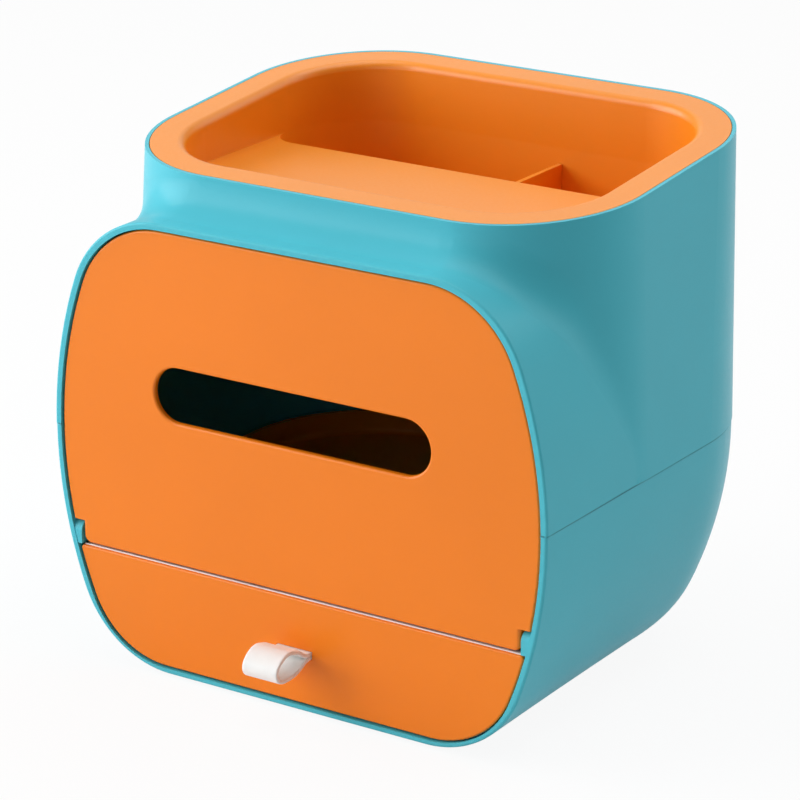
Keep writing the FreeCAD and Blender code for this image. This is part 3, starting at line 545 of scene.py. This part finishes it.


# seam between the shells, with a dark strip painted as the shadow of its gap, and the drawer's
# bead

def outer_edges(edges, centre):
    """Those edges of a level cut whose faces look away from its centre."""
    outer = set()
    for edge in edges:
        middle = (edge.verts[0].co + edge.verts[1].co) / 2 - centre
        facing = sum((face.normal for face in edge.link_faces), Vector())
        if facing.dot(middle) > 0:
            outer.add(edge)
    return outer


def walked(first, start, edges):
    """Places along the edges, from a start vertex over its first edge to the end."""
    places = []
    edge, vertex = first, start
    while edge:
        vertex = edge.other_vert(vertex)
        places.append(vertex.co.copy())
        onward = [e for e in vertex.link_edges if e in edges and e is not edge]
        edge = onward[0] if onward else None
    return places


def seam_path(drop):
    """Outer edge of the lower shell, drop under its top, from right to left round the rear."""
    low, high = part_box("lower_shell")
    level = high[2] - drop
    cut = bmesh.new()
    cut.from_mesh(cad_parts["lower_shell"].data)
    bmesh.ops.remove_doubles(cut, verts=cut.verts, dist=WELD)
    sliced = bmesh.ops.bisect_plane(cut, geom=cut.verts[:] + cut.edges[:] + cut.faces[:],
                                    plane_co=(0, 0, level), plane_no=(0, 0, 1))
    edges = [item for item in sliced["geom_cut"] if isinstance(item, bmesh.types.BMEdge)]
    outer = outer_edges(edges, Vector((0, (low[1] + high[1]) / 2, level)))
    rear = max((vertex for edge in outer for vertex in edge.verts), key=lambda v: v.co.y)
    halves = [walked(edge, rear, outer) for edge in rear.link_edges if edge in outer]
    right, left = sorted(halves, key=lambda places: places[-1].x, reverse=True)
    path = right[::-1] + [rear.co.copy()] + left
    cut.free()
    return path


def strip_tree():
    """Sweeps a small strip with rounded edges along a level path."""
    tree, given = geometry_tree("strip_along_path", ("Depth", "Height", "Edge", "Step"),
                                (("Finish", "Material"),))
    path = add(tree, "GeometryNodeMeshToCurve", {"Mesh": given.outputs["Geometry"]})
    even = add(tree, "GeometryNodeResampleCurve",
               {"Curve": path.outputs["Curve"], "Length": given.outputs["Step"]},
               mode="LENGTH")
    facing = add(tree, "GeometryNodeSetCurveNormal", {"Curve": even.outputs["Curve"]},
                 mode="Z_UP")
    section = add(tree, "GeometryNodeCurvePrimitiveQuadrilateral",
                  {"Width": given.outputs["Depth"], "Height": given.outputs["Height"]},
                  mode="RECTANGLE")
    rounded = add(tree, "GeometryNodeFilletCurve",
                  {"Curve": section.outputs["Curve"], "Radius": given.outputs["Edge"],
                   "Count": STRIP_EDGE_STEPS, "Limit Radius": True}, mode="POLY")
    swept = add(tree, "GeometryNodeCurveToMesh",
                {"Curve": facing.outputs["Curve"], "Profile Curve": rounded.outputs["Curve"],
                 "Fill Caps": True})
    close_tree(tree, swept.outputs["Mesh"], given.outputs["Finish"])
    return tree


def make_seam_strip(tree, name, drop, high, edge, finish):
    """One strip along the lower shell's upper edge, drop below that edge."""
    inward = SEAM_DEEP / 2 - SEAM_PROUD
    middle_y = (cad_low[1] + cad_high[1]) / 2
    path = []
    for point in seam_path(drop + high / 2):
        away = Vector((point.x, point.y - middle_y, 0)).normalized()
        path.append(point - away * inward)
    values = {"Depth": SEAM_DEEP, "Height": high, "Edge": edge, "Step": SEAM_STEP,
              "Finish": finish}
    piece = grown(name, line_mesh(path), tree, values)
    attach(piece, "housing")


def make_drawer_bead(tree):
    """White bead that stands over the drawer front's top edge, in the gap under the door."""
    low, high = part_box("drawer_front")
    y = low[1] + (BEAD_FRONT + BEAD_BACK) / 2
    z = (BEAD_LOW + BEAD_HIGH) / 2
    ends = [Vector((low[0] + BEAD_SHORT, y, z)), Vector((high[0] - BEAD_SHORT, y, z))]
    values = {"Depth": BEAD_BACK - BEAD_FRONT, "Height": BEAD_HIGH - BEAD_LOW,
              "Edge": BEAD_EDGE, "Step": BEAD_STEP, "Finish": white_drawer}
    piece = grown("drawer_bead", line_mesh(ends), tree, values)
    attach(piece, "drawer")


make_pull_band()
recessed = screw_tree()
for set_name, plain_screws, carrier in SCREW_SETS:
    make_screws(recessed, set_name, plain_screws, carrier)
strip = strip_tree()
# dark strip along the seam: painted shadow of the gap between the shells
make_seam_strip(strip, "seam_edge", 0.0, SEAM_HIGH, SEAM_EDGE, seam_gap_painted_shade)
make_seam_strip(strip, "seam_lip", SEAM_HIGH, SEAM_LIP_HIGH, SEAM_LIP_EDGE, teal)
make_drawer_bead(strip)


# studio

def softbox(name, place, width, power):
    data = bpy.data.lights.new(name, "AREA")
    data.shape = "SQUARE"
    data.size = width
    data.energy = power
    lamp = bpy.data.objects.new(name, data)
    lamp.location = place
    aim = Vector(LIGHT_AIM) - Vector(place)
    lamp.rotation_euler = aim.to_track_quat("-Z", "Y").to_euler()
    bpy.context.scene.collection.objects.link(lamp)


def plain_white_rays(tree):
    """How white each ray sees the studio: the camera's fully, those in gloss partly."""
    rays = tree.nodes.new("ShaderNodeLightPath")
    gloss = add(tree, "ShaderNodeMath", {0: rays.outputs["Is Glossy Ray"], 1: GLOSS_WHITE},
                operation="MULTIPLY")
    total = gloss.outputs["Value"]
    for ray in ("Is Camera Ray", "Is Transmission Ray"):
        either = add(tree, "ShaderNodeMath", {0: total, 1: rays.outputs[ray]},
                     operation="MAXIMUM")
        total = either.outputs["Value"]
    return total


def make_world():
    """A dim room for the matt surfaces, and plain white for the rays that should see it."""
    world = bpy.data.worlds.new("studio")
    bpy.context.scene.world = world
    world.use_nodes = True
    tree = world.node_tree
    room = tree.nodes["Background"]
    room.inputs["Color"].default_value = WHITE
    room.inputs["Strength"].default_value = AMBIENT
    white = add(tree, "ShaderNodeBackground", {"Color": WHITE, "Strength": 1.0})
    mix = add(tree, "ShaderNodeMixShader",
              {"Fac": plain_white_rays(tree), 1: room.outputs["Background"],
               2: white.outputs["Background"]})
    tree.links.new(mix.outputs["Shader"], tree.nodes["World Output"].inputs["Surface"])


def make_floor():
    """Pale floor that reads as white and keeps a faint shadow."""
    mesh = bpy.data.meshes.new("floor")
    corners = [(x * FLOOR_REACH, y * FLOOR_REACH, 0)
               for x, y in ((-1, -1), (1, -1), (1, 1), (-1, 1))]
    mesh.from_pydata(corners, [], [(0, 1, 2, 3)])
    floor = bpy.data.objects.new("floor", mesh)
    bpy.context.scene.collection.objects.link(floor)
    made, tree, surface = material("floor_paper")
    surface.inputs["Base Color"].default_value = FLOOR_PAPER
    surface.inputs["Roughness"].default_value = FLOOR_ROUGH
    glow = add(tree, "ShaderNodeEmission", {"Strength": 1.0})
    share = add(tree, "ShaderNodeMath", {0: plain_white_rays(tree), 1: FLOOR_WHITE},
                operation="MULTIPLY")
    mix = add(tree, "ShaderNodeMixShader",
              {"Fac": share.outputs["Value"], 1: surface.outputs["BSDF"],
               2: glow.outputs["Emission"]})
    tree.links.new(mix.outputs["Shader"], tree.nodes["Material Output"].inputs["Surface"])
    mesh.materials.append(made)


def make_camera():
    data = bpy.data.cameras.new("camera")
    data.lens = CAMERA_LENS
    data.sensor_width = CAMERA_SENSOR
    data.clip_end = CAMERA_REACH
    camera = bpy.data.objects.new("camera", data)
    level = math.cos(CAMERA_ELEVATION)
    ahead = Vector((-math.sin(CAMERA_AZIMUTH) * level, math.cos(CAMERA_AZIMUTH) * level,
                    -math.sin(CAMERA_ELEVATION)))
    flat_right = Vector((math.cos(CAMERA_AZIMUTH), math.sin(CAMERA_AZIMUTH), 0))
    flat_up = flat_right.cross(ahead)
    right = flat_right * math.cos(CAMERA_ROLL) + flat_up * math.sin(CAMERA_ROLL)
    up = right.cross(ahead)
    turned = Matrix((right, up, -ahead)).transposed().to_4x4()
    camera.matrix_world = Matrix.Translation(CAMERA_PLACE) @ turned
    bpy.context.scene.collection.objects.link(camera)
    bpy.context.scene.camera = camera


for lamp_name, lamp_place, lamp_width, watts in SOFTBOXES:
    softbox(lamp_name, lamp_place, lamp_width, watts)
make_world()
make_floor()
make_camera()
bpy.context.scene.view_settings.view_transform = "Standard"
